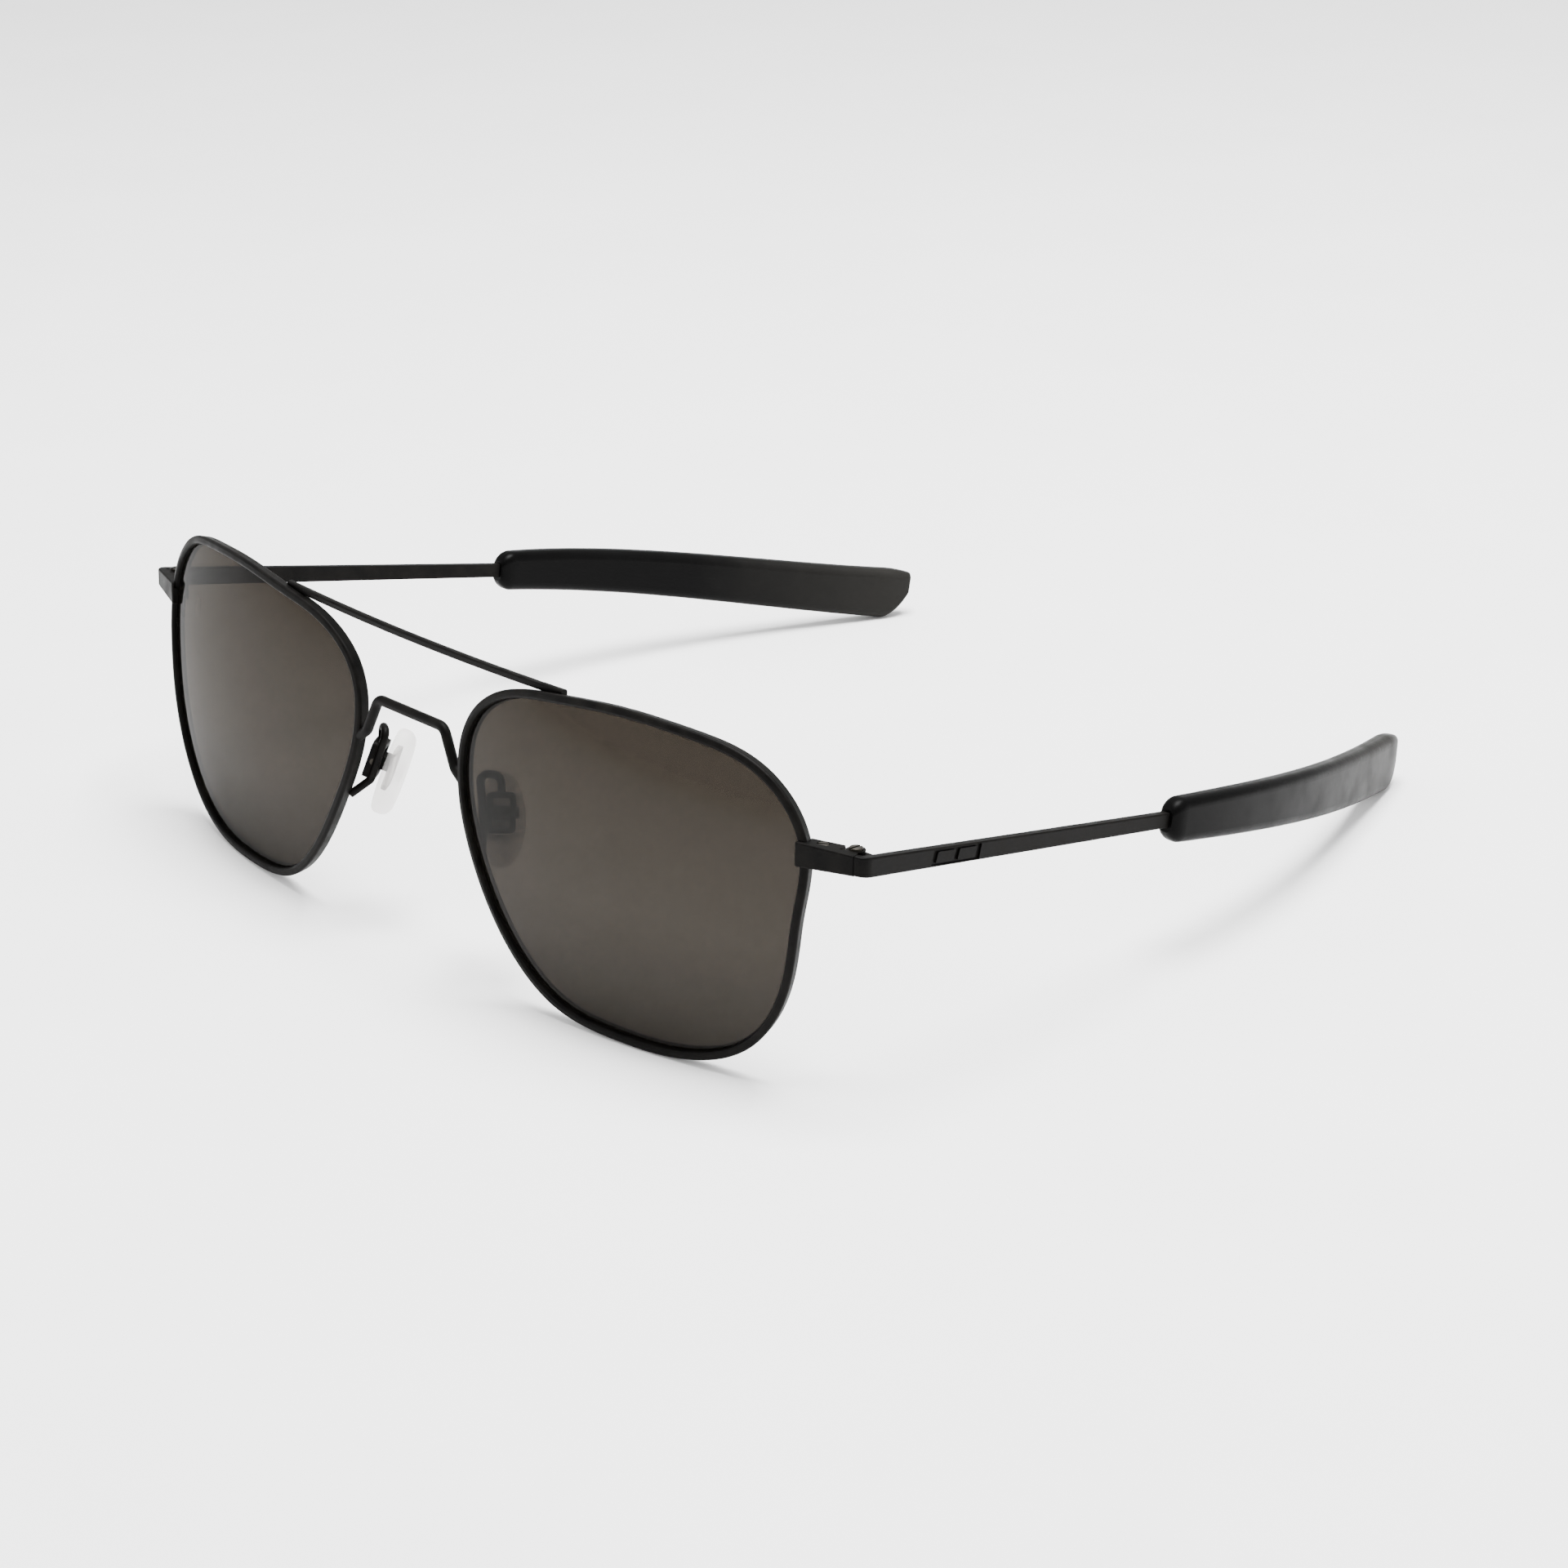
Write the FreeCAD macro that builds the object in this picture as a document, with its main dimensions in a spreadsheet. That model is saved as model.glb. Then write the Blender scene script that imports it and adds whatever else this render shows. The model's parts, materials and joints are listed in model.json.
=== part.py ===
"""Metal aviator sunglasses, in millimetres, standing open on a flat surface.

Frame: +X is the wearer's left, the lenses face -Y, the temples run back along +Y, +Z is up.
The origin is the middle of the bounding box's bottom. Left pieces are modelled and mirrored in X.
"""
import FreeCAD, Part
import math
import os

Vec = FreeCAD.Vector
Place = FreeCAD.Placement
Turn = FreeCAD.Rotation

doc = FreeCAD.newDocument("sunglasses")
sheet = doc.addObject("Spreadsheet::Sheet", "sizes")

SIZES = [
    ("opening_width", 52.0, "rim opening, side to side"),
    ("opening_height", 38.9, "rim opening, top to bottom"),
    ("lens_centre", 37.3, "lens centre from the middle of the frame"),
    ("lens_wrap", 8.4, "turn of each lens about the vertical, degrees"),
    ("curve_radius", 88.0, "radius of the lens front"),
    ("lens_thick", 1.8, "lens thickness"),
    ("lens_gap", 0.03, "play between lens and rim"),
    ("tongue_front", 0.20, "lens front to the front of its edge tongue"),
    ("tongue_thick", 0.60, "thickness of the edge tongue"),
    ("tongue_reach", 0.45, "how far the tongue enters the rim"),
    ("rim_width", 1.10, "rim wire, across the opening"),
    ("rim_ahead", 0.65, "rim wire in front of the lens front"),
    ("rim_behind", 1.10, "rim wire behind the lens front"),
    ("rim_round", 0.35, "rounding of the rim wire"),
    ("rim_gap", 0.25, "saw cut through the rim wire"),
    ("groove_depth", 0.50, "lens groove in the rim wire"),
    ("bar_half", 27.5, "brow bar, middle to end"),
    ("bar_height", 0.95, "brow bar, top to bottom"),
    ("bar_depth", 0.90, "brow bar, front to back"),
    ("bar_round", 0.28, "rounding of the brow bar"),
    ("bar_level", 19.55, "brow bar above the lens centres"),
    ("bar_front", 1.10, "middle of the brow bar, front to back position"),
    ("bar_bow", 1.15, "how far the bar's ends sweep back"),
    ("bridge_wire", 1.30, "bridge wire diameter"),
    ("bridge_bend", 1.50, "bridge bend radius"),
    ("arm_wire", 1.00, "pad arm wire diameter"),
    ("arm_bend", 1.05, "pad arm bend radius"),
    ("end_slope", 20.0, "backward slope of the end piece, degrees"),
    ("end_start", 0.80, "end piece, over the rim from its reference corner"),
    ("end_joint", 6.65, "end piece, reference corner to the joint"),
    ("end_thick", 1.00, "thickness of the end piece strip"),
    ("end_height", 3.00, "height of the end piece at the rim"),
    ("end_low", 2.45, "height of the end piece at the joint"),
    ("end_level", 8.87, "end piece above the lens centres"),
    ("edge_round", 0.22, "rounding of the strips' long edges"),
    ("block_depth", 2.45, "front face to the back of the closing block"),
    ("block_height", 2.60, "height of the closing block"),
    ("block_start", 0.10, "start of the closing block along the end piece"),
    ("block_end", 4.35, "end of the closing block along the end piece"),
    ("block_split", 0.06, "gap between the two halves of the closing block"),
    ("lock_along", 2.00, "rim screw along the end piece"),
    ("lock_deep", 1.65, "rim screw behind the front face"),
    ("lock_shank", 0.45, "rim screw shank radius"),
    ("lock_head", 0.72, "rim screw head radius"),
    ("lock_head_deep", 0.45, "rim screw head height"),
    ("lock_length", 2.10, "rim screw shank length"),
    ("axis_along", 5.80, "hinge axis along the end piece"),
    ("axis_deep", 2.20, "hinge axis behind the front face"),
    ("knuckle_radius", 1.10, "hinge barrel radius"),
    ("knuckle_height", 0.44, "height of one hinge knuckle"),
    ("knuckle_gap", 0.05, "play between two knuckles"),
    ("knuckle_room", 1.20, "radius kept clear round a turning knuckle"),
    ("leaf_start", 4.40, "start of the front hinge leaf along the end piece"),
    ("hinge_shank", 0.50, "hinge screw shank radius"),
    ("hinge_bore", 0.55, "bore of the turning knuckles"),
    ("hinge_head", 0.80, "hinge screw head radius"),
    ("hinge_head_high", 0.30, "hinge screw head height"),
    ("hinge_length", 2.45, "hinge screw shank length"),
    ("slot_width", 0.30, "screwdriver slot width"),
    ("slot_depth", 0.18, "screwdriver slot depth"),
    ("temple_inward", 4.7, "temple line, inward of straight back, degrees"),
    ("temple_thick", 1.05, "temple strip thickness"),
    ("temple_joint_gap", 0.04, "gap in the joint line at rest"),
    ("temple_bend", 1.50, "outer bend radius at the temple's front"),
    ("temple_length", 56.5, "temple strip, from its corner to inside the tip"),
    ("temple_drop", 0.1500, "drop of the temple per millimetre of length"),
    ("temple_high", 2.40, "temple height at the joint"),
    ("temple_low", 1.85, "temple height where the tip starts"),
    ("panel_start", 11.3, "ornament panel from the temple's corner"),
    ("panel_length", 8.2, "ornament panel length"),
    ("panel_height", 1.80, "ornament panel height"),
    ("panel_slant", 0.45, "how far the panel's upper edge leans back"),
    ("panel_border", 0.75, "recess between the panel's end and its first raised pad"),
    ("panel_pad", 3.00, "length of one raised pad"),
    ("panel_depth", 0.25, "ornament panel depth"),
    ("leaf_length", 6.2, "temple hinge leaf length"),
    ("leaf_height", 1.90, "temple hinge leaf height"),
    ("leaf_thick", 0.55, "temple hinge leaf thickness"),
    ("tip_thick", 3.10, "temple tip thickness"),
    ("tip_high_front", 5.45, "temple tip height at its front"),
    ("tip_high_back", 7.60, "temple tip height near its end"),
    ("tip_front_taper", 1.90, "length of the tip's tapered front"),
    ("tip_length", 68.6, "length of the tip along its centre line"),
    ("tip_round", 1.25, "rounding of the tip's long edges"),
    ("tip_end_round", 4.40, "length of the tip's rounded end"),
    ("tip_end_lean", 0.75, "how far the tip's rounded end leans to its upper edge, as a share"),
    ("core_thick", 0.80, "thickness of the wire core in the tip"),
    ("core_height", 1.90, "height of the wire core in the tip"),
    ("core_share", 0.86, "share of the tip's line that the core reaches"),
    ("pad_length", 11.8, "nose pad length"),
    ("pad_width", 5.9, "nose pad width"),
    ("pad_thick", 2.60, "nose pad thickness"),
    ("pad_face_round", 1.45, "rounding of the pad's nose side"),
    ("pad_back_round", 0.80, "rounding of the pad's lens side"),
    ("pad_under", 1.15, "pad middle to its lens side"),
    ("box_length", 5.00, "pad box length"),
    ("box_width", 3.50, "pad box width"),
    ("box_depth", 1.60, "pad box depth"),
    ("box_window", 3.50, "pad box window length"),
    ("box_inside", 2.10, "pad box window width"),
    ("box_offset", 2.60, "pad middle to the rocking axis"),
    ("box_raise", 0.90, "rocking axis above the pad's middle"),
    ("core_plate_long", 5.60, "pad insert plate length"),
    ("core_plate_wide", 3.20, "pad insert plate width"),
    ("core_plate_thick", 0.60, "pad insert plate thickness"),
    ("lug_width", 1.98, "pad insert lug width"),
    ("lug_radius", 0.85, "pad insert lug end radius"),
    ("lug_bore", 0.47, "pad insert lug bore radius"),
    ("pad_screw_shank", 0.42, "pad screw shank radius"),
    ("pad_screw_head", 0.75, "pad screw head radius"),
    ("pad_screw_head_high", 0.40, "pad screw head height"),
    ("rest_pitch", 3.33, "lean that sets rims and tips on one surface, degrees"),
    ("rest_back", -63.16, "shift that centres the frame front to back"),
    ("rest_up", 20.79, "shift that sets the lowest point at zero"),
]

for row, (alias, value, note) in enumerate(SIZES, start=1):
    sheet.set(f"A{row}", note)
    sheet.set(f"B{row}", str(value))
    sheet.setAlias(f"B{row}", alias)
doc.recompute()


def size(alias):
    """The number in the sheet under this alias."""
    return float(sheet.get(alias))


# Opening outline as shares of half the width and half the height, from the temple side over the top.
OUTLINE = [
    (1.00, 0.26), (0.95, 0.62), (0.75, 0.87), (0.40, 0.98),
    (0.00, 1.00), (-0.40, 0.95), (-0.75, 0.84), (-0.96, 0.59),
    (-0.99, 0.23), (-0.87, -0.21), (-0.65, -0.65), (-0.37, -0.93),
    (0.00, -1.00), (0.40, -0.98), (0.72, -0.81), (0.90, -0.48),
]
# Control points of the centre line of the temple tip, from the strip to the rounded end.
TIP_LINE = [
    Vec(65.65, 64.1, 0.62), Vec(65.0, 89.4, -2.65), Vec(55.7, 108.0, -7.8), Vec(47.4, 127.6, -10.4),
]
# Centre line of the bridge wire: foot on the rim, ankle, shoulder, and the same in reverse.
BRIDGE_LINE = [
    Vec(-10.80, 0.30, 4.3), Vec(-8.90, 0.35, 5.6), Vec(-6.6, 0.5, 10.2),
    Vec(6.6, 0.5, 10.2), Vec(8.90, 0.35, 5.6), Vec(10.80, 0.30, 4.3),
]
# Centre line of the pad arm: foot on the rim, up behind the lens, over, and down to the pad box.
ARM_LINE = [
    Vec(13.35, 0.80, -4.10), Vec(11.56, 2.66, -2.08), Vec(9.46, 3.62, 4.42), Vec(12.0, 4.95, 4.6),
    Vec(12.18, 4.84, 2.15),
]
PAD_CENTRE = Vec(11.0, 5.7, -1.6)
PAD_LONG_AXIS = Vec(-0.253, 0.214, 0.943)
PAD_NOSE_SIDE = Vec(-0.737, 0.589, -0.331)
END_CORNER = Vec(63.02, 7.42, size("end_level"))

REST = Place(Vec(0, size("rest_back"), size("rest_up")), Turn(Vec(1, 0, 0), -size("rest_pitch")))
LENS = Place(Vec(size("lens_centre"), 0, 0), Turn(Vec(0, 0, 1), size("lens_wrap")))
END = Place(END_CORNER, Turn(Vec(0, 0, 1), size("end_slope")))


def temple_place():
    """Frame of the temple: origin at its outer corner, x back along it, y inward, z up."""
    inward = math.radians(size("temple_inward"))
    back = Vec(-math.sin(inward), math.cos(inward), 0)
    along = END.Rotation.multVec(Vec(1, 0, 0))
    outer_point = Vec(70.45, 12.0, END_CORNER.z)
    gap = outer_point - END_CORNER
    reach = (gap.x * back.y - gap.y * back.x) / (along.x * back.y - along.y * back.x)
    corner = END_CORNER + along * reach
    return Place(corner, Turn(Vec(0, 0, 1), 90 + size("temple_inward"))), reach


TEMPLE, CORNER_REACH = temple_place()


def pad_place(shift):
    """Frame of a nose pad piece: x up the pad, z to the nose, moved by shift in that frame."""
    long_axis = Vec(PAD_LONG_AXIS).normalize()
    turn = Turn(long_axis, Vec(0, 0, 0), Vec(PAD_NOSE_SIDE).normalize(), "XZY")
    return Place(PAD_CENTRE + turn.multVec(shift), turn)


# ---------------------------------------------------------------- drawing helpers

def rounded_loop(points, radii):
    """Lines and tangent arcs of a closed outline whose corners have the given radii."""
    count = len(points)
    ends = []
    for i, corner in enumerate(points):
        to_last = (points[i - 1] - corner).normalize()
        to_next = (points[(i + 1) % count] - corner).normalize()
        half = to_last.getAngle(to_next) / 2
        run = radii[i] / math.tan(half)
        middle = corner + (to_last + to_next).normalize() * (radii[i] / math.sin(half) - radii[i])
        ends.append((corner + to_last * run, middle, corner + to_next * run))
    curves = []
    for i, (start, middle, end) in enumerate(ends):
        if radii[i] > 0:
            curves.append(Part.Arc(start, middle, end))
        curves.append(Part.LineSegment(end, ends[(i + 1) % count][0]))
    return curves


def bent_path(points, radius):
    """Straight runs joined by tangent arcs of one radius."""
    edges = []
    last = points[0]
    for i in range(1, len(points) - 1):
        to_last = (points[i - 1] - points[i]).normalize()
        to_next = (points[i + 1] - points[i]).normalize()
        half = to_last.getAngle(to_next) / 2
        run = radius / math.tan(half)
        middle = points[i] + (to_last + to_next).normalize() * (radius / math.sin(half) - radius)
        start = points[i] + to_last * run
        end = points[i] + to_next * run
        edges.append(Part.LineSegment(last, start).toShape())
        edges.append(Part.Arc(start, middle, end).toShape())
        last = end
    edges.append(Part.LineSegment(last, points[-1]).toShape())
    return Part.Wire(edges)


def bent_wire(points, bend, thickness):
    """Round wire along a bent path."""
    path = bent_path(points, bend)
    ring = Part.Circle(points[0], points[1] - points[0], thickness / 2).toShape()
    return path.makePipeShell([Part.Wire([ring])], True, False)


def add_feature(name, shape, place=REST):
    """A document object that holds one shape, put in its place."""
    feature = doc.addObject("Part::Feature", name)
    feature.Label = name
    feature.Shape = shape
    feature.Placement = place
    return feature


def add_body(name, place):
    """A design body with its own label and place."""
    body = doc.addObject("PartDesign::Body", name)
    body.Label = name
    body.Placement = place
    return body


def add_sketch(body, role, curves, offset=Vec(0, 0, 0), turn=Turn()):
    """A sketch of closed loops on one of the body's own origin planes."""
    sketch = body.newObject("Sketcher::SketchObject", body.Name + "_sketch")
    plane = next(item for item in body.Origin.OriginFeatures if item.Role == role)
    sketch.AttachmentSupport = (plane, "")
    sketch.MapMode = "FlatFace"
    sketch.AttachmentOffset = Place(offset, turn)
    sketch.addGeometry(curves, False)
    return sketch


def rectangle(low_x, low_y, high_x, high_y, radius=0.0):
    """Closed outline of an upright rectangle with equal corner radii."""
    corners = [Vec(low_x, low_y), Vec(high_x, low_y), Vec(high_x, high_y), Vec(low_x, high_y)]
    return rounded_loop(corners, [radius] * 4)


def circle(x, y, radius):
    """A full circle in the sketch plane."""
    return [Part.Circle(Vec(x, y, 0), Vec(0, 0, 1), radius)]


def add_pad(body, sketch, length, middle=True, back=False):
    """Extrude a sketch; length is an expression on the sheet."""
    pad = body.newObject("PartDesign::Pad", body.Name + "_pad")
    pad.Profile = sketch
    pad.setExpression("Length", length)
    pad.Midplane = middle
    pad.Reversed = back
    sketch.Visibility = False
    return pad


def add_pocket(body, sketch, length=None, middle=False, back=False):
    """Cut a sketch away, through everything when no length is given."""
    pocket = body.newObject("PartDesign::Pocket", body.Name + "_pocket")
    pocket.Profile = sketch
    pocket.Midplane = middle
    pocket.Reversed = back
    if length is None:
        pocket.Type = "ThroughAll"
    else:
        pocket.setExpression("Length", length)
    return pocket


def add_fillet(body, radius, wanted):
    """Round those edges of the body so far whose middle and direction pass the test."""
    doc.recompute()
    base = body.Tip
    names = []
    for number, edge in enumerate(base.Shape.Edges, start=1):
        middle = edge.valueAt((edge.FirstParameter + edge.LastParameter) / 2)
        if wanted(edge, middle):
            names.append(f"Edge{number}")
    fillet = body.newObject("PartDesign::Fillet", body.Name + "_fillet")
    fillet.Base = (base, names)
    fillet.setExpression("Radius", radius)
    return fillet


def add_cut(name, base, tool):
    """base with tool taken away."""
    cut = doc.addObject("Part::Cut", name)
    cut.Label = name
    cut.Base = base
    cut.Tool = tool
    return cut


def add_mirror(name, source):
    """The wearer's right-hand twin of a left-hand piece."""
    twin = doc.addObject("Part::Mirroring", name)
    twin.Label = name
    twin.Source = source
    twin.Normal = Vec(1, 0, 0)
    twin.Base = Vec(0, 0, 0)
    return twin


# ---------------------------------------------------------------- rims and lenses

def opening_curve():
    """The rim opening in the lens plane, one smooth closed curve."""
    half_width = size("opening_width") / 2
    half_height = size("opening_height") / 2
    curve = Part.BSplineCurve()
    points = [Vec(u * half_width, v * half_height, 0) for u, v in OUTLINE]
    curve.interpolate(Points=points, PeriodicFlag=True)
    return curve


def saw_share():
    """Half the rim's saw cut as a share of the opening curve."""
    curve = opening_curve()
    split = curve.parameter(Vec(size("opening_width") / 2, size("end_level"), 0))
    period = curve.LastParameter - curve.FirstParameter
    return size("rim_gap") / 2 / curve.getD1(split)[1].Length / period


def opening_points(offset, count, start=0.0, end=1.0):
    """Points on the opening moved outward by offset; start and end are shares from the saw cut."""
    curve = opening_curve()
    first = curve.FirstParameter
    period = curve.LastParameter - first
    split = curve.parameter(Vec(size("opening_width") / 2, size("end_level"), 0))
    points = []
    for step in range(count + 1):
        at = split + period * (start + (end - start) * step / count)
        point, along = curve.getD1(first + (at - first) % period)
        along.normalize()
        points.append(point + Vec(along.y, -along.x, 0) * offset)
    return points


def on_lens(point, lift=0.0):
    """Point of the lens front over a point of the lens plane, lifted forward along the radius."""
    radius = size("curve_radius")
    deep = math.sqrt(radius ** 2 - point.x ** 2 - point.y ** 2)
    scale = (radius + lift) / radius
    return LENS.multVec(Vec(point.x * scale, radius - deep * scale, point.y * scale))


def rim_sweep(section, radii, start, end, steps):
    """Sweep a section of (outward, forward) corners along part of the opening, square to the lens."""
    flat = opening_points(0, steps, start, end)
    spine = Part.BSplineCurve()
    spine.interpolate(Points=[on_lens(p) for p in flat])
    guide = Part.BSplineCurve()
    guide.interpolate(Points=[on_lens(p, 8.0) for p in flat])
    foot = spine.value(spine.FirstParameter)
    along = spine.tangent(spine.FirstParameter)[0]
    forward = (guide.value(guide.FirstParameter) - foot).normalize()
    outward = forward.cross(along).normalize()
    if (foot + outward - LENS.Base).Length < (foot - LENS.Base).Length:
        outward = outward * -1
    corners = [foot + outward * out + forward * ahead for out, ahead in section]
    profile = Part.Wire([curve.toShape() for curve in rounded_loop(corners, radii)])
    pipe = Part.BRepOffsetAPI.MakePipeShell(Part.Wire([spine.toShape()]))
    pipe.setAuxiliarySpine(Part.Wire([guide.toShape()]), True, 0)
    pipe.add(profile)
    pipe.build()
    pipe.makeSolid()
    return pipe.shape()


def make_rim():
    """Grooved rim wire, sawn through at the closing block."""
    ahead = size("rim_ahead")
    behind = -size("rim_behind")
    width = size("rim_width")
    mouth_front = -size("tongue_front") + size("lens_gap")
    mouth_back = -size("tongue_front") - size("tongue_thick") - size("lens_gap")
    depth = size("groove_depth")
    section = [
        (0, ahead), (width, ahead), (width, behind), (0, behind),
        (0, mouth_back), (depth, mouth_back), (depth, mouth_front), (0, mouth_front),
    ]
    round_off = size("rim_round")
    radii = [round_off, round_off, round_off, round_off * 0.4, 0, 0, 0, 0]
    skip = saw_share()
    return add_feature("rim_left", rim_sweep(section, radii, skip, 1 - skip, 40))


def make_rim_envelope(name, start, end):
    """Part of the rim wire without its groove or saw cut, to fit its neighbours against."""
    ahead = size("rim_ahead")
    behind = -size("rim_behind")
    width = size("rim_width")
    section = [(-0.3, ahead), (width, ahead), (width, behind), (-0.3, behind)]
    radii = [0, size("rim_round"), size("rim_round"), 0]
    steps = max(8, round(40 * (end - start)))
    return add_feature(name, rim_sweep(section, radii, start, end, steps))


def edge_cone(name, offset):
    """Solid cone of lines from the lens's centre of curvature through the offset opening."""
    radius = size("curve_radius")
    wires = []
    for level in (-3.0, 14.0):
        points = []
        for flat in opening_points(offset, 64)[:-1]:
            deep = math.sqrt(radius ** 2 - flat.x ** 2 - flat.y ** 2)
            share = (radius - level) / deep
            points.append(LENS.multVec(Vec(flat.x * share, level, flat.y * share)))
        curve = Part.BSplineCurve()
        curve.interpolate(Points=points, PeriodicFlag=True)
        wires.append(Part.Wire([curve.toShape()]))
    return add_feature(name, Part.makeLoft(wires, True, True))


def lens_layer(name, front, thickness, offset):
    """One layer of the lens: a spherical shell trimmed by an edge cone."""
    centre = REST.multiply(LENS).multVec(Vec(0, size("curve_radius"), 0))
    balls = []
    for label, radius in (("outer", front), ("inner", f"{front} - {thickness}")):
        ball = doc.addObject("Part::Sphere", f"{name}_{label}")
        ball.setExpression("Radius", radius)
        ball.Placement = Place(centre, Turn())
        balls.append(ball)
    shell = add_cut(name + "_shell", balls[0], balls[1])
    layer = doc.addObject("Part::Common", name)
    layer.Base = shell
    layer.Tool = edge_cone(name + "_cone", offset)
    return layer


def make_lens():
    """Curved lens with a tongue round its edge that sits in the rim groove."""
    body = lens_layer("lens_disc", "sizes.curve_radius", "sizes.lens_thick", -size("lens_gap"))
    reach = size("tongue_reach")
    tongue = lens_layer(
        "lens_tongue", "(sizes.curve_radius - sizes.tongue_front)", "sizes.tongue_thick", reach
    )
    lens = doc.addObject("Part::Fuse", "lens_left")
    lens.Label = "lens_left"
    lens.Base = body
    lens.Tool = tongue
    return lens


# ---------------------------------------------------------------- brow bar, bridge, pad arms

def make_brow_bar():
    """Bar across both rim tops, bowed back towards its ends."""
    body = add_body("brow_bar_blank", REST)
    half = size("bar_half")
    deep = size("bar_depth") / 2
    front = size("bar_front")
    back = front + size("bar_bow")
    curves = [
        Part.Arc(Vec(-half, back - deep), Vec(0, front - deep), Vec(half, back - deep)),
        Part.LineSegment(Vec(half, back - deep), Vec(half, back + deep)),
        Part.Arc(Vec(half, back + deep), Vec(0, front + deep), Vec(-half, back + deep)),
        Part.LineSegment(Vec(-half, back + deep), Vec(-half, back - deep)),
    ]
    sketch = add_sketch(body, "XY_Plane", curves, Vec(0, 0, size("bar_level")))
    add_pad(body, sketch, "sizes.bar_height")
    add_fillet(body, "sizes.bar_round", lambda edge, middle: edge.Length > size("bar_half"))
    return body


def make_bridge():
    """Bridge wire: flat over the nose, with legs down to a foot on each rim."""
    shape = bent_wire(BRIDGE_LINE, size("bridge_bend"), size("bridge_wire"))
    return add_feature("bridge_blank", shape)


def make_pad_arm():
    """Wire from the rim's nose side, over an arch, down to the pad box."""
    return add_feature("pad_arm_blank", bent_wire(ARM_LINE, size("arm_bend"), size("arm_wire")))


# ---------------------------------------------------------------- nose pads

def make_pad_box():
    """Open box on the pad arm that holds the pad's lug between two walls."""
    place = REST.multiply(pad_place(Vec(size("box_raise"), 0, -size("box_offset"))))
    body = add_body("pad_box_left", place)
    long = size("box_length") / 2
    wide = size("box_width") / 2
    window = size("box_window") / 2
    inside = size("box_inside") / 2
    curves = rectangle(-long, -wide, long, wide, 0.7) + rectangle(-window, -inside, window, inside, 0.3)
    add_pad(body, add_sketch(body, "XY_Plane", curves), "sizes.box_depth")
    add_pocket(body, add_sketch(body, "XZ_Plane", circle(0, 0, size("pad_screw_shank"))), middle=True)
    return body


def make_pad_core():
    """Insert of the nose pad: a plate held in the silicone and a lug with the screw's bore."""
    place = REST.multiply(pad_place(Vec(size("box_raise"), 0, -size("box_offset"))))
    body = add_body("pad_core_left", place)
    long = size("core_plate_long") / 2
    wide = size("core_plate_wide") / 2
    under = size("box_offset") - size("pad_under")
    plate = add_sketch(
        body, "XY_Plane", rectangle(-long - 0.5, -wide, long - 0.5, wide, 0.8), Vec(0, 0, under + 0.5)
    )
    add_pad(body, plate, "sizes.core_plate_thick", middle=False)
    end = size("lug_radius")
    top = under + 0.6
    lug = [
        Part.LineSegment(Vec(end, 0), Vec(end, top)),
        Part.LineSegment(Vec(end, top), Vec(-end, top)),
        Part.LineSegment(Vec(-end, top), Vec(-end, 0)),
        Part.Arc(Vec(-end, 0), Vec(0, -end), Vec(end, 0)),
    ]
    add_pad(body, add_sketch(body, "XZ_Plane", lug), "sizes.lug_width")
    add_pocket(body, add_sketch(body, "XZ_Plane", circle(0, 0, size("lug_bore"))), middle=True)
    return body


def make_nose_pad(core):
    """Oval silicone pad, domed to the nose, moulded round its insert."""
    body = add_body("nose_pad_blank", REST.multiply(pad_place(Vec(0, 0, -size("pad_under")))))
    oval = Part.Ellipse(Vec(0, 0, 0), size("pad_length") / 2, size("pad_width") / 2)
    add_pad(body, add_sketch(body, "XY_Plane", [oval]), "sizes.pad_thick", middle=False)
    add_fillet(body, "sizes.pad_face_round", lambda edge, middle: middle.z > 1 and edge.Length > 20)
    add_fillet(body, "sizes.pad_back_round", lambda edge, middle: abs(middle.z) < 0.01 and edge.Length > 20)
    return add_cut("nose_pad_left", body, core)


def slotted_screw(name, place, shank, shank_length, head, head_height):
    """Screw along z with its slotted head above z = 0; sizes are aliases on the sheet."""
    body = add_body(name, place)
    thin = size(shank)
    low = -size(shank_length)
    corners = [
        Vec(0, low), Vec(thin, low), Vec(thin, 0), Vec(size(head), 0),
        Vec(size(head), size(head_height)), Vec(0, size(head_height)),
    ]
    curves = rounded_loop(corners, [0, 0, 0, 0, 0.12, 0])
    sketch = add_sketch(body, "XZ_Plane", curves)
    turned = body.newObject("PartDesign::Revolution", name + "_turned")
    turned.Profile = sketch
    turned.ReferenceAxis = (sketch, ["V_Axis"])
    turned.Angle = 360
    half = size("slot_width") / 2
    slot = add_sketch(body, "XY_Plane", rectangle(-2, -half, 2, half), Vec(0, 0, size(head_height)))
    add_pocket(body, slot, "sizes.slot_depth")
    return body


# ---------------------------------------------------------------- end pieces and hinges

def taper_cut(body, start, end, high, low, drop=0.0):
    """Trim a strip's side view to a height that falls from high at start to low at end."""
    side = [
        Vec(start, high / 2 - drop * start), Vec(start, -high / 2 - drop * start),
        Vec(end, -low / 2 - drop * end), Vec(end, low / 2 - drop * end),
    ]
    frame = rectangle(start - 20, -25, end + 20, 25)
    curves = frame + rounded_loop(side, [0, 0, 0, 0])
    add_pocket(body, add_sketch(body, "XZ_Plane", curves), middle=True)


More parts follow.
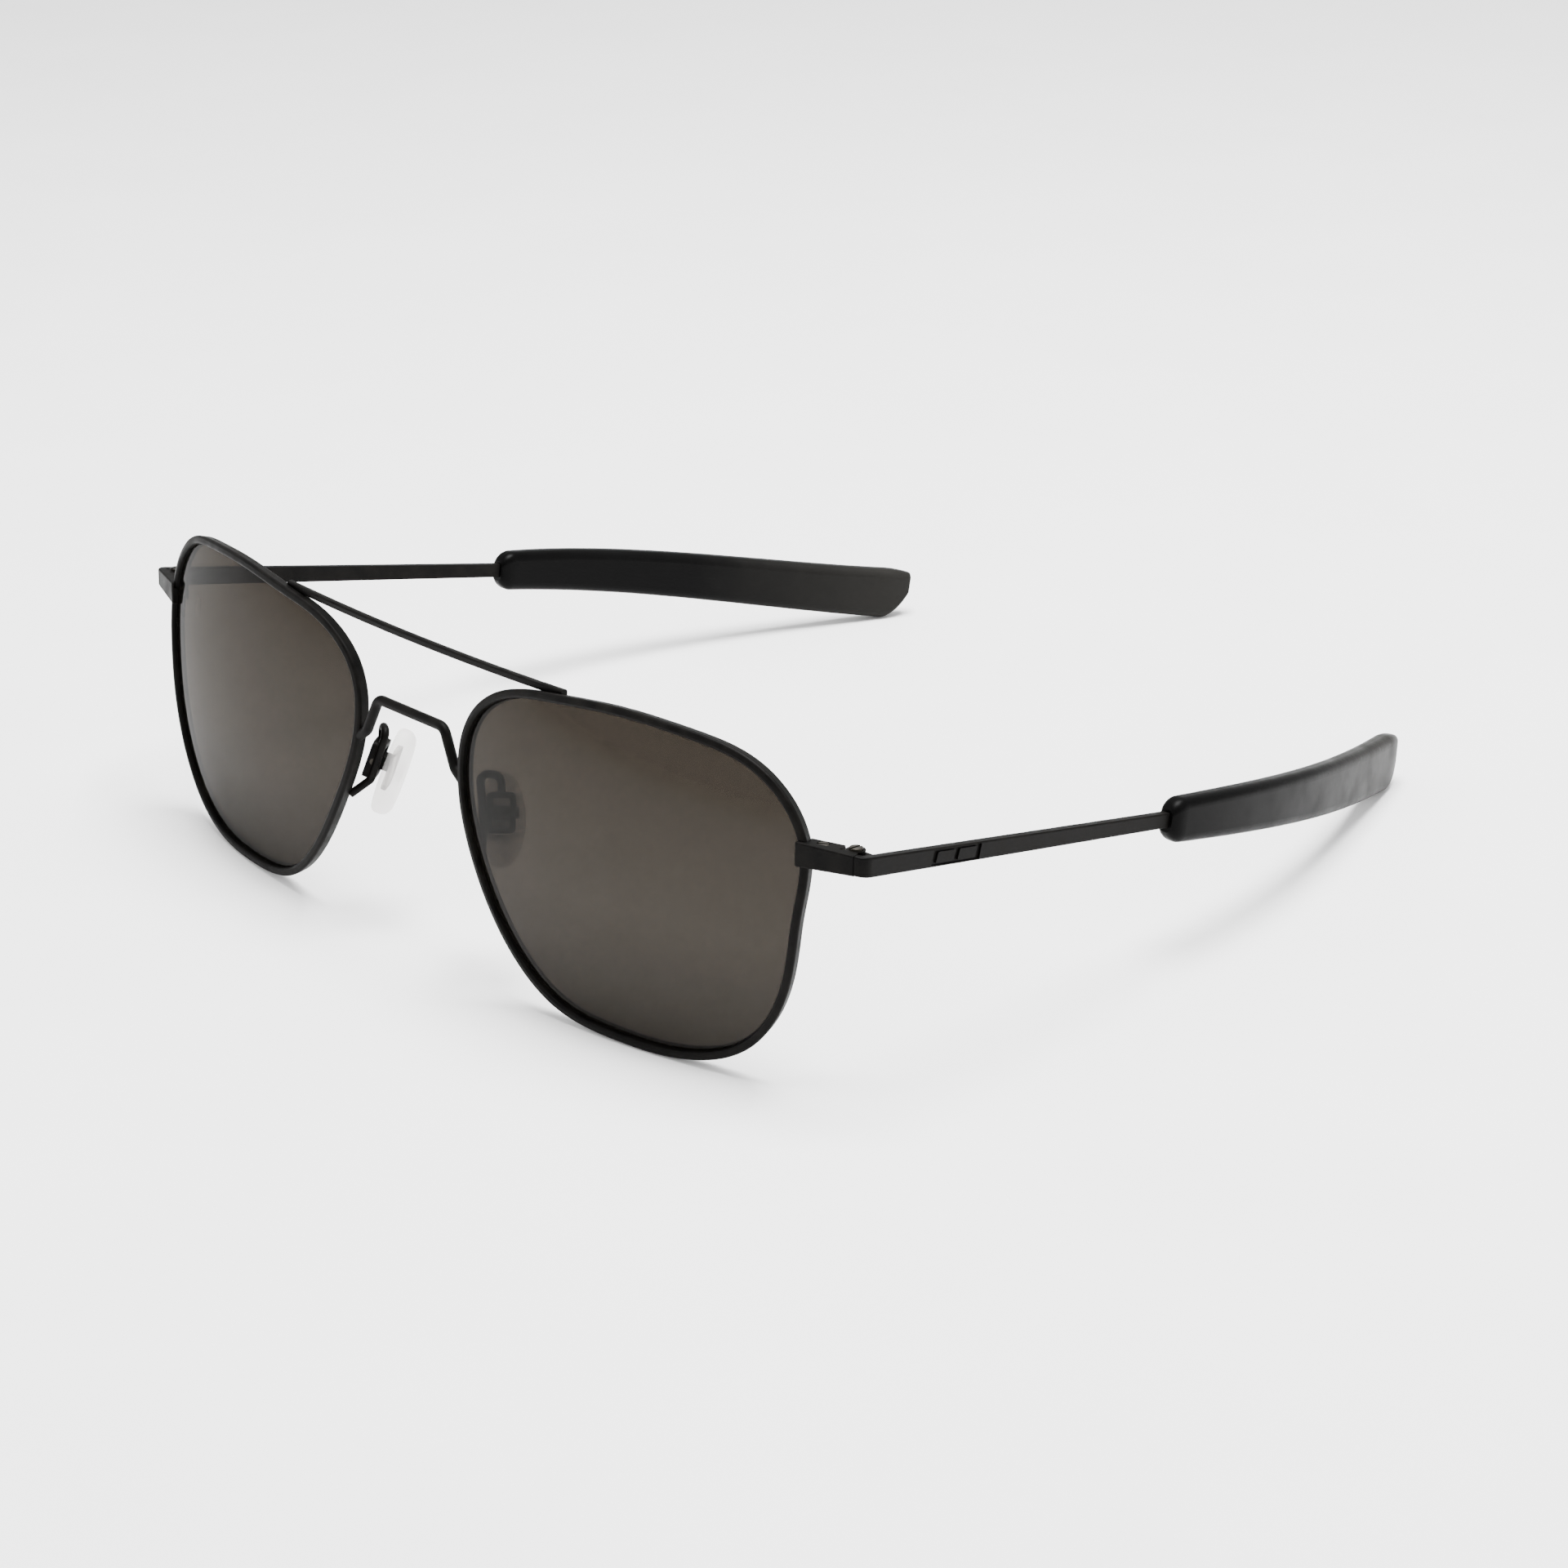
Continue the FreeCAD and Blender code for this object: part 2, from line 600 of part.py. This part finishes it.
def make_end_piece(envelope, lens):
    """Strip from the rim to the temple joint, with the upper half of the closing block behind it."""
    body = add_body("end_piece_blank", REST.multiply(END))
    strip = rectangle(-size("end_start"), 0, size("end_joint"), size("end_thick"))
    add_pad(body, add_sketch(body, "XY_Plane", strip), "sizes.end_height")
    taper_cut(body, -size("end_start"), size("end_joint"), size("end_height"), size("end_low"))
    add_fillet(
        body, "sizes.edge_round",
        lambda edge, middle: middle.y < 0.01 or abs(middle.x + size("end_start")) < 0.01,
    )
    block = rectangle(size("block_start"), size("end_thick") - 0.3, size("block_end"), size("block_depth"))
    half_gap = size("block_split") / 2
    upper = add_sketch(body, "XY_Plane", block, Vec(0, 0, half_gap))
    add_pad(body, upper, "sizes.block_height / 2 - sizes.block_split / 2", middle=False)
    top = size("block_height") / 2
    along = size("lock_along")
    deep = size("lock_deep")
    hole = add_sketch(body, "XY_Plane", circle(along, deep, size("hinge_bore")), Vec(0, 0, top))
    add_pocket(body, hole, "sizes.block_height / 2")
    sink = add_sketch(body, "XY_Plane", circle(along, deep, size("lock_head") + 0.03), Vec(0, 0, top))
    add_pocket(body, sink, "sizes.lock_head_deep")
    return add_cut("end_piece_left", add_cut("end_piece_trimmed", body, envelope), lens)


def make_rim_lock(envelope):
    """Lower half of the closing block, on the rim's lower end, threaded for the rim screw."""
    body = add_body("rim_lock_blank", REST.multiply(END))
    front = size("end_thick") + 0.03
    block = rectangle(size("block_start"), front, size("block_end"), size("block_depth"))
    half_gap = size("block_split") / 2
    lower = add_sketch(body, "XY_Plane", block, Vec(0, 0, -half_gap))
    add_pad(body, lower, "sizes.block_height / 2 - sizes.block_split / 2", middle=False, back=True)
    thread = circle(size("lock_along"), size("lock_deep"), size("lock_shank"))
    add_pocket(body, add_sketch(body, "XY_Plane", thread), middle=True)
    return add_cut("rim_lock_left", body, envelope)


def knuckle_levels(turning):
    """Lower levels of the knuckles: the fixed leaf has three and the turning leaf has two."""
    pitch = size("knuckle_height") + size("knuckle_gap")
    bottom = -(5 * size("knuckle_height") + 4 * size("knuckle_gap")) / 2
    return [bottom + pitch * k for k in ((1, 3) if turning else (0, 2, 4))]


def add_knuckles(body, turning, axis, neck_start, neck_end, face):
    """Knuckles round the hinge axis, each with a neck from the leaf's face, and the bore's room."""
    room = add_sketch(body, "XY_Plane", circle(axis.x, axis.y, size("knuckle_room")))
    add_pocket(body, room, middle=True)
    for level in knuckle_levels(turning):
        lift = Vec(0, 0, level)
        neck = add_sketch(body, "XY_Plane", rectangle(neck_start, face, neck_end, axis.y), lift)
        add_pad(body, neck, "sizes.knuckle_height", middle=False)
        ring = add_sketch(body, "XY_Plane", circle(axis.x, axis.y, size("knuckle_radius")), lift)
        add_pad(body, ring, "sizes.knuckle_height", middle=False)
    bore = size("hinge_bore") if turning else size("hinge_shank")
    add_pocket(body, add_sketch(body, "XY_Plane", circle(axis.x, axis.y, bore)), middle=True)


def make_front_leaf():
    """Hinge leaf on the end piece, with three knuckles."""
    body = add_body("hinge_leaf_front_left", REST.multiply(END))
    axis = Vec(size("axis_along"), size("axis_deep"))
    start = size("leaf_start")
    back = size("end_thick")
    corners = [Vec(start, back), Vec(axis.x - 0.3, back), Vec(axis.x - 0.3, axis.y), Vec(start, axis.y)]
    plate = add_sketch(body, "XY_Plane", rounded_loop(corners, [0, 0, 0, 0.4]))
    add_pad(body, plate, "sizes.end_low - 0.1")
    add_knuckles(body, False, axis, start + 0.5, axis.x + size("knuckle_radius") * 0.6, back)
    return body


def axis_in_temple():
    """Hinge axis in the temple's own frame."""
    point = END.multVec(Vec(size("axis_along"), size("axis_deep"), 0))
    return TEMPLE.inverse().multVec(point)


def make_temple_leaf(temple):
    """Hinge leaf on the temple's inner face, with two knuckles between the fixed ones."""
    body = add_body("hinge_leaf_temple_blank", REST.multiply(TEMPLE))
    axis = axis_in_temple()
    face = size("temple_thick")
    radius = size("knuckle_radius")
    drop = size("temple_drop")
    half = size("leaf_height") / 2
    near = axis.x - radius * 0.5
    far = size("leaf_length")
    corners = [
        Vec(near, -drop * near - half), Vec(far, -drop * far - half),
        Vec(far, -drop * far + half), Vec(near, -drop * near + half),
    ]
    outline = rounded_loop(corners, [0.2, 0.6, 0.6, 0.2])
    plate = add_sketch(body, "XZ_Plane", outline, Vec(0, 0, -face))
    add_pad(body, plate, "sizes.leaf_thick", middle=False, back=True)
    add_knuckles(body, True, axis, axis.x - radius * 0.75, axis.x + radius, face)
    return add_cut("hinge_leaf_temple_left", body, temple)


# ---------------------------------------------------------------- temples and tips

def make_temple_strip():
    """Flat strip of the temple: bent at the joint, tapering back, with a recessed panel outside."""
    body = add_body("temple_strip", REST.multiply(TEMPLE))
    to_temple = TEMPLE.inverse().multiply(END)
    joint = size("end_joint") + size("temple_joint_gap")
    thick = size("temple_thick")
    outer_start = to_temple.multVec(Vec(joint, 0, 0))
    inner_start = to_temple.multVec(Vec(joint, size("end_thick"), 0))
    inner_line = to_temple.multVec(Vec(CORNER_REACH, size("end_thick"), 0)) - inner_start
    inner_corner = inner_start + inner_line * ((thick - inner_start.y) / inner_line.y)
    length = size("temple_length")
    plan = [outer_start, Vec(0, 0, 0), Vec(length, 0, 0), Vec(length, thick, 0), inner_corner, inner_start]
    for corner in plan:
        corner.z = 0
    bend = size("temple_bend")
    curves = rounded_loop(plan, [0, bend, 0, 0, bend - size("end_thick"), 0])
    add_pad(body, add_sketch(body, "XY_Plane", curves), "sizes.end_height * 8")
    taper_cut(body, -1.5, length, size("temple_high"), size("temple_low"), size("temple_drop"))
    add_fillet(
        body, "sizes.edge_round",
        lambda edge, middle: edge.Length > 40 and middle.y < 0.01,
    )
    add_panel(body)
    return body


def add_panel(body):
    """Slanted recess in the outer face that leaves two slanted pads standing."""
    drop = size("temple_drop")
    slant = size("panel_slant") / 2

    def slanted(start, end, half, radius):
        corners = [
            Vec(start - slant, -half - drop * start), Vec(end - slant, -half - drop * end),
            Vec(end + slant, half - drop * end), Vec(start + slant, half - drop * start),
        ]
        return rounded_loop(corners, [radius] * 4)

    start = size("panel_start")
    end = start + size("panel_length")
    half = size("panel_height") / 2
    long = size("panel_pad")
    border = size("panel_border")
    curves = slanted(start, end, half, 0.15)
    curves += slanted(start + border, start + border + long, half * 0.7, 0.1)
    curves += slanted(end - border - long, end - border, half * 0.7, 0.1)
    add_pocket(body, add_sketch(body, "XZ_Plane", curves), "sizes.panel_depth")


def tip_point(share):
    """Point and direction of the tip's centre line."""
    a, b, c, d = TIP_LINE
    rest = 1 - share
    point = a * rest ** 3 + b * (3 * rest ** 2 * share) + c * (3 * rest * share ** 2) + d * share ** 3
    along = (b - a) * (3 * rest ** 2) + (c - b) * (6 * rest * share) + (d - c) * (3 * share ** 2)
    return point, along.normalize()


def tip_section(share, thick, high, radius, lift=0.0):
    """Rounded rectangle square to the tip's centre line, lifted above it."""
    point, along = tip_point(share)
    up = (Vec(0, 0, 1) - along * along.z).normalize()
    point = point + up * lift
    side = along.cross(up)
    corners = [
        point + side * (thick / 2 * a) + up * (high / 2 * b)
        for a, b in ((-1, -1), (1, -1), (1, 1), (-1, 1))
    ]
    return Part.Wire([curve.toShape() for curve in rounded_loop(corners, [radius] * 4)])


def make_temple(strip):
    """The strip with its narrower core that runs on inside the tip."""
    reach = size("core_share")
    sections = [
        tip_section(reach * k / 8, size("core_thick"), size("core_height"), 0.2) for k in range(9)
    ]
    core = add_feature("temple_core", Part.makeLoft(sections, True, False))
    temple = doc.addObject("Part::Fuse", "temple_left")
    temple.Label = "temple_left"
    temple.Base = strip
    temple.Tool = core
    return temple


def tip_height(share):
    """Full height of the tip at a share of its line."""
    front = size("tip_high_front")
    return front + (size("tip_high_back") - front) * share ** 0.7


def tip_loft(name, start, end, scales, lean=0.0):
    """Smooth solid between two shares of the tip's line; scales shrink its evenly spaced sections."""
    sections = []
    for number, (flat, tall) in enumerate(scales):
        share = start + (end - start) * number / (len(scales) - 1)
        thick = size("tip_thick") * flat
        high = tip_height(share) * tall
        lift = tip_height(share) * (1 - tall) / 2 * lean
        radius = min(size("tip_round") * flat, thick * 0.45)
        sections.append(tip_section(share, thick, high, radius, lift))
    return add_feature(name, Part.makeLoft(sections, True, False))


def make_temple_tip(temple):
    """Paddle-shaped tip moulded over the temple's core, rounded at both ends."""
    front = size("tip_front_taper") / size("tip_length")
    back = 1 - size("tip_end_round") / size("tip_length")
    whole = [(1.0, 1.0)] * 9
    nose = [(0.62, 0.52), (0.82, 0.78), (0.93, 0.91), (0.985, 0.98), (1.0, 1.0)]
    tail = [(1.0, 1.0), (0.99, 0.965), (0.95, 0.86), (0.86, 0.69), (0.68, 0.44)]
    blank = doc.addObject("Part::MultiFuse", "temple_tip_blank")
    blank.Shapes = [
        tip_loft("tip_nose", 0.0, front, nose),
        tip_loft("tip_shaft", front, back, whole),
        tip_loft("tip_tail", back, 1.0, tail, size("tip_end_lean")),
    ]
    return add_cut("temple_tip_left", blank, temple)


# ---------------------------------------------------------------- the assembly

def build_left(envelope):
    """Every left-hand piece, in the order that they go together."""
    rim = make_rim()
    lens = make_lens()
    corner = make_rim_envelope("rim_corner_envelope", -0.08, 0.08)
    core = make_pad_core()
    box = make_pad_box()
    strip = make_temple_strip()
    temple = make_temple(strip)
    top = size("block_height") / 2
    hinge_top = (5 * size("knuckle_height") + 4 * size("knuckle_gap")) / 2
    lock_place = END.multiply(
        Place(Vec(size("lock_along"), size("lock_deep"), top - size("lock_head_deep")), Turn(Vec(0, 0, 1), 20))
    )
    hinge_place = END.multiply(
        Place(Vec(size("axis_along"), size("axis_deep"), hinge_top), Turn(Vec(0, 0, 1), 70))
    )
    box_axis = pad_place(Vec(size("box_raise"), size("box_width") / 2, -size("box_offset")))
    pad_screw_place = box_axis.multiply(Place(Vec(0, 0, 0), Turn(Vec(1, 0, 0), -90)))
    return [
        rim,
        lens,
        make_end_piece(corner, lens),
        make_rim_lock(corner),
        slotted_screw(
            "rim_screw_left", REST.multiply(lock_place), "lock_shank", "lock_length",
            "lock_head", "lock_head_deep",
        ),
        make_front_leaf(),
        slotted_screw(
            "hinge_screw_left", REST.multiply(hinge_place), "hinge_shank", "hinge_length",
            "hinge_head", "hinge_head_high",
        ),
        add_cut("pad_arm_left", add_cut("pad_arm_trimmed", make_pad_arm(), envelope), box),
        box,
        slotted_screw(
            "pad_screw_left", REST.multiply(pad_screw_place), "pad_screw_shank", "box_width",
            "pad_screw_head", "pad_screw_head_high",
        ),
        core,
        make_nose_pad(core),
        temple,
        make_temple_leaf(temple),
        make_temple_tip(temple),
    ]


def check_document():
    """Stop if any object of the document failed or holds no valid shape."""
    failed = [item.Name for item in doc.Objects if "Invalid" in item.State or "Error" in item.State]
    if failed:
        raise RuntimeError(f"failed objects: {failed}")


def check_piece(piece):
    """Stop if a piece is empty, broken or more than one solid."""
    shape = piece.Shape
    if shape.isNull() or not shape.isValid() or len(shape.Solids) != 1:
        raise RuntimeError(f"{piece.Label}: not one valid solid")


def main():
    """Build, mirror, check and write every piece."""
    envelope = make_rim_envelope("rim_envelope_left", 0.03, 0.97)
    twin = add_mirror("rim_envelope_right", envelope)
    left = build_left(envelope)
    doc.recompute()
    right = [add_mirror(piece.Label.replace("_left", "_right"), piece) for piece in left]
    middle = [
        add_cut("brow_bar", add_cut("brow_bar_trimmed", make_brow_bar(), envelope), twin),
        add_cut("bridge", add_cut("bridge_trimmed", make_bridge(), envelope), twin),
    ]
    pieces = left + right + middle
    doc.recompute()
    check_document()
    for piece in pieces:
        check_piece(piece)
    os.makedirs("parts", exist_ok=True)
    for piece in pieces:
        piece.Shape.exportStep(f"parts/{piece.Label}.step")
        print(f"{piece.Label}: {piece.Shape.Volume:.2f} mm3")


main()
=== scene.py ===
"""Looks of the sunglasses: coated metal, tinted lenses, satin tips, clear pads, a pale studio."""
import json
import math

import bpy
from mathutils import Matrix, Vector

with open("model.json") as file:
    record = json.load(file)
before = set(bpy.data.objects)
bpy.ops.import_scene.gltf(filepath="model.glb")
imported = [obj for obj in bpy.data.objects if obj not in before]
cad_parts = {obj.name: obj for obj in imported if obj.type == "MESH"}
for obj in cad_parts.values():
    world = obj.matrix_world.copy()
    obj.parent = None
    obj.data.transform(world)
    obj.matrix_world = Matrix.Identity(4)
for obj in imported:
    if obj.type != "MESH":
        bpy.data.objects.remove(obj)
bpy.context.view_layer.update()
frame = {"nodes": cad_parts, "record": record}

# Lengths are in metres and angles in degrees. Most noise values lie from NOISE_LOW to NOISE_HIGH.
NOISE_LOW, NOISE_HIGH = 0.3, 0.7
GRAIN_HEIGHT = 0.00002
# TIP_LENGTH is the length over which the tip's painted reflection rises.
TIP_LENGTH = 0.065
# The lens tint's painted shade runs over z from LENS_LOW to LENS_TOP.
LENS_LOW, LENS_TOP = 0.0, 0.041

# The camera is placed in the frame in which the rims stand upright. LEAN, REST_BACK and REST_UP then
# bring that frame to where the glasses rest.
AZIMUTH, ELEVATION, ROLL = 48.149, 19.858, 1.126
DISTANCE, ACROSS, ABOVE = 0.4862, 0.04563, 0.00110
LENS_LENGTH = 91.76
LEAN = -3.33
REST_BACK, REST_UP = -0.06316, 0.02079

FLOOR_SIZE, FLOOR_DROP = 8.0, 0.0001


# ---------------------------------------------------------------- materials

def new_material(name):
    """An empty node material: the material, its nodes and its links."""
    material = bpy.data.materials.new(name)
    material.use_nodes = True
    return material, material.node_tree.nodes, material.node_tree.links


def add_noise(nodes, links, scale, detail=4.0, stretch=(1.0, 1.0, 1.0)):
    """Noise over the object's own coordinates, stretched along one axis if asked."""
    place = nodes.new("ShaderNodeTexCoord")
    mapping = nodes.new("ShaderNodeMapping")
    mapping.inputs["Scale"].default_value = stretch
    noise = nodes.new("ShaderNodeTexNoise")
    noise.inputs["Scale"].default_value = scale
    noise.inputs["Detail"].default_value = detail
    links.new(place.outputs["Object"], mapping.inputs["Vector"])
    links.new(mapping.outputs["Vector"], noise.inputs["Vector"])
    return noise


def add_ramp(nodes, links, source, stops):
    """Colours laid over a value by (position, colour) stops."""
    ramp = nodes.new("ShaderNodeValToRGB")
    elements = ramp.color_ramp.elements
    while len(elements) < len(stops):
        elements.new(0.5)
    for element, (position, colour) in zip(elements, stops):
        element.position = position
        element.color = (*colour, 1.0)
    links.new(source, ramp.inputs["Fac"])
    return ramp


def add_range(nodes, links, source, low, high):
    """Noise values mapped to the range from low to high."""
    spread = nodes.new("ShaderNodeMapRange")
    spread.inputs["From Min"].default_value = NOISE_LOW
    spread.inputs["From Max"].default_value = NOISE_HIGH
    spread.inputs["To Min"].default_value = low
    spread.inputs["To Max"].default_value = high
    links.new(source, spread.inputs["Value"])
    return spread


def add_bump(nodes, links, source, shader, strength):
    """Fine surface relief from a noise."""
    bump = nodes.new("ShaderNodeBump")
    bump.inputs["Strength"].default_value = strength
    bump.inputs["Distance"].default_value = GRAIN_HEIGHT
    links.new(source, bump.inputs["Height"])
    links.new(bump.outputs["Normal"], shader.inputs["Normal"])


def coated_metal(name, dark, light, rough_low, rough_high, shine, metallic=0.0):
    """Fine-grained coating with faint cloudiness in its colour and in its shine."""
    material, nodes, links = new_material(name)
    shader = nodes["Principled BSDF"]
    shader.inputs["Metallic"].default_value = metallic
    shader.inputs["Specular IOR Level"].default_value = shine
    cloud = add_noise(nodes, links, 420.0)
    ramp = add_ramp(nodes, links, cloud.outputs["Fac"], [(0.35, dark), (0.7, light)])
    links.new(ramp.outputs["Color"], shader.inputs["Base Color"])
    spread = add_range(nodes, links, cloud.outputs["Fac"], rough_low, rough_high)
    links.new(spread.outputs["Result"], shader.inputs["Roughness"])
    grain = add_noise(nodes, links, 5200.0, 2.0)
    add_bump(nodes, links, grain.outputs["Fac"], shader, 0.25)
    return material


def tip_plastic():
    """Dark acetate; a painted reflection makes it greyer and hazier towards its rounded end."""
    material, nodes, links = new_material("tip_plastic")
    shader = nodes["Principled BSDF"]
    place = nodes.new("ShaderNodeTexCoord")
    axes = nodes.new("ShaderNodeSeparateXYZ")
    links.new(place.outputs["Object"], axes.inputs["Vector"])
    # How far along the tip a point lies; this drives the painted reflection.
    painted_reflection_along = nodes.new("ShaderNodeMapRange")
    painted_reflection_along.inputs["From Min"].default_value = 0.0
    painted_reflection_along.inputs["From Max"].default_value = TIP_LENGTH
    links.new(axes.outputs["Y"], painted_reflection_along.inputs["Value"])
    mottle = add_noise(nodes, links, 260.0)
    shift = nodes.new("ShaderNodeMath")
    shift.operation = "MULTIPLY_ADD"
    shift.inputs[1].default_value = 0.12
    links.new(mottle.outputs["Fac"], shift.inputs[0])
    links.new(painted_reflection_along.outputs["Result"], shift.inputs[2])
    shader.inputs["Specular IOR Level"].default_value = 0.035
    # Near black along the tip, then lighter towards its end: that lighter end is a painted
    # reflection.
    stops = [
        (0.08, (0.001, 0.001, 0.001)),
        (0.55, (0.002, 0.002, 0.002)),
        (1.0, (0.013, 0.0125, 0.0115)),
    ]
    ramp = add_ramp(nodes, links, shift.outputs["Value"], stops)
    links.new(ramp.outputs["Color"], shader.inputs["Base Color"])
    spread = add_range(nodes, links, mottle.outputs["Fac"], 0.30, 0.42)
    links.new(spread.outputs["Result"], shader.inputs["Roughness"])
    grain = add_noise(nodes, links, 3000.0, 2.0)
    add_bump(nodes, links, grain.outputs["Fac"], shader, 0.12)
    return material


def clear_layer(name, tint_stops, film_stops, share, roughness, scale, painted_shade_z_range=None):
    """See-through material: light passes tinted, and a share of film takes the shine.

    The last argument gives the lowest and highest z between which the tint's stops are laid; that
    ramp in z is painted shade.
    """
    material, nodes, links = new_material(name)
    film = nodes["Principled BSDF"]
    film.inputs["IOR"].default_value = 1.5
    cloud = add_noise(nodes, links, scale, 3.0)
    source = cloud.outputs["Fac"]
    if painted_shade_z_range is not None:
        low, high = painted_shade_z_range
        # Painted shade: the tint follows height on the lens.
        place = nodes.new("ShaderNodeTexCoord")
        axes = nodes.new("ShaderNodeSeparateXYZ")
        links.new(place.outputs["Object"], axes.inputs["Vector"])
        rise = nodes.new("ShaderNodeMapRange")
        rise.inputs["From Min"].default_value = low
        rise.inputs["From Max"].default_value = high
        links.new(axes.outputs["Z"], rise.inputs["Value"])
        blend = nodes.new("ShaderNodeMath")
        blend.operation = "MULTIPLY_ADD"
        blend.inputs[1].default_value = 0.06
        links.new(source, blend.inputs[0])
        links.new(rise.outputs["Result"], blend.inputs[2])
        source = blend.outputs["Value"]
    tint = add_ramp(nodes, links, source, tint_stops)
    through = nodes.new("ShaderNodeBsdfTransparent")
    links.new(tint.outputs["Color"], through.inputs["Color"])
    body = add_ramp(nodes, links, cloud.outputs["Fac"], film_stops)
    links.new(body.outputs["Color"], film.inputs["Base Color"])
    spread = add_range(nodes, links, cloud.outputs["Fac"], roughness * 0.8, roughness * 1.3)
    links.new(spread.outputs["Result"], film.inputs["Roughness"])
    mix = nodes.new("ShaderNodeMixShader")
    mix.inputs["Fac"].default_value = share
    links.new(through.outputs["BSDF"], mix.inputs[1])
    links.new(film.outputs["BSDF"], mix.inputs[2])
    links.new(mix.outputs["Shader"], nodes["Material Output"].inputs["Surface"])
    return material


def floor_paper():
    """White studio paper with a very faint mottle."""
    material, nodes, links = new_material("floor_paper")
    shader = nodes["Principled BSDF"]
    shader.inputs["Roughness"].default_value = 0.85
    shader.inputs["Specular IOR Level"].default_value = 0.1
    mottle = add_noise(nodes, links, 30.0)
    stops = [(0.3, (0.93, 0.93, 0.93)), (0.7, (0.96, 0.96, 0.96))]
    ramp = add_ramp(nodes, links, mottle.outputs["Fac"], stops)
    links.new(ramp.outputs["Color"], shader.inputs["Base Color"])
    return material


def paint_nodes():
    """Gives every CAD piece the look of its record slot."""
    looks = {
        "black_metal": coated_metal(
            "black_coat", dark=(0.0012, 0.0011, 0.0010), light=(0.0045, 0.0041, 0.0036),
            rough_low=0.42, rough_high=0.58, shine=0.045,
        ),
        "screw_steel": coated_metal(
            "dark_steel", dark=(0.020, 0.018, 0.015), light=(0.045, 0.040, 0.033),
            rough_low=0.34, rough_high=0.48, shine=0.2, metallic=0.7,
        ),
        "black_tip": tip_plastic(),
        "tinted_lens": clear_layer(
            "lens_tint",
            # Tint from the bottom of the lens to its top: darker at the bottom as painted shade,
            # lightest a little below the middle, and a little darker at the top.
            tint_stops=[
                (0.0, (0.095, 0.087, 0.077)),
                (0.45, (0.158, 0.145, 0.130)),
                (1.0, (0.136, 0.122, 0.106)),
            ],
            film_stops=[(0.35, (0.020, 0.018, 0.015)), (0.7, (0.028, 0.025, 0.021))],
            share=0.14, roughness=0.05, scale=60.0, painted_shade_z_range=(LENS_LOW, LENS_TOP),
        ),
        "clear_silicone": clear_layer(
            "silicone",
            tint_stops=[(0.35, (0.86, 0.85, 0.84)), (0.7, (0.95, 0.94, 0.93))],
            film_stops=[(0.35, (0.72, 0.71, 0.70)), (0.7, (0.86, 0.85, 0.84))],
            share=0.24, roughness=0.22, scale=300.0,
        ),
    }
    for part in frame["record"]["subparts"]:
        piece = frame["nodes"][part["node"]]
        piece.data.materials.clear()
        piece.data.materials.append(looks[part["material_slot"]])


# ---------------------------------------------------------------- studio

def build_studio():
    """Pale floor that runs to the horizon, one broad overhead light and two soft side lights."""
    bpy.ops.mesh.primitive_plane_add(size=FLOOR_SIZE, location=(0, 0, -FLOOR_DROP))
    floor = bpy.context.object
    floor.name = "studio_floor"
    floor.data.materials.append(floor_paper())
    lights = [
        ("overhead", (0.05, 0.05, 0.75), 0.40, 22.0),
        ("right_side", (0.70, 0.35, 0.40), 0.7, 2.0),
        ("front_left", (-0.55, -0.65, 0.55), 0.6, 2.5),
    ]
    for name, place, width, power in lights:
        data = bpy.data.lights.new(name, "AREA")
        data.size = width
        data.energy = power
        lamp = bpy.data.objects.new(name, data)
        bpy.context.collection.objects.link(lamp)
        lamp.location = place
        aim = Vector((0, 0, 0.015)) - Vector(place)
        lamp.rotation_euler = aim.to_track_quat("-Z", "Y").to_euler()
    world = bpy.data.worlds.new("studio")
    world.use_nodes = True
    world.node_tree.nodes["Background"].inputs["Color"].default_value = (1, 1, 1, 1)
    world.node_tree.nodes["Background"].inputs["Strength"].default_value = 1.0
    bpy.context.scene.world = world


def place_camera():
    """Long lens from above the wearer's left front."""
    turn = math.radians(AZIMUTH)
    rise = math.radians(ELEVATION)
    roll = math.radians(ROLL)
    back = Vector((math.sin(turn) * math.cos(rise), -math.cos(turn) * math.cos(rise), math.sin(rise)))
    right = Vector((math.cos(turn), math.sin(turn), 0))
    up = back.cross(right)
    level = right * math.cos(roll) + up * math.sin(roll)
    upright = up * math.cos(roll) - right * math.sin(roll)
    spot = level * ACROSS + upright * ABOVE + back * DISTANCE
    axes = Matrix((level, upright, back)).transposed().to_4x4()
    lean = Matrix.Rotation(math.radians(LEAN), 4, "X")
    shift = Matrix.Translation((0, REST_BACK, REST_UP))
    data = bpy.data.cameras.new("camera")
    data.lens = LENS_LENGTH
    data.sensor_width = 36.0
    data.clip_start = 0.01
    camera = bpy.data.objects.new("camera", data)
    bpy.context.collection.objects.link(camera)
    camera.matrix_world = shift @ lean @ Matrix.Translation(spot) @ axes
    bpy.context.scene.camera = camera


paint_nodes()
build_studio()
place_camera()
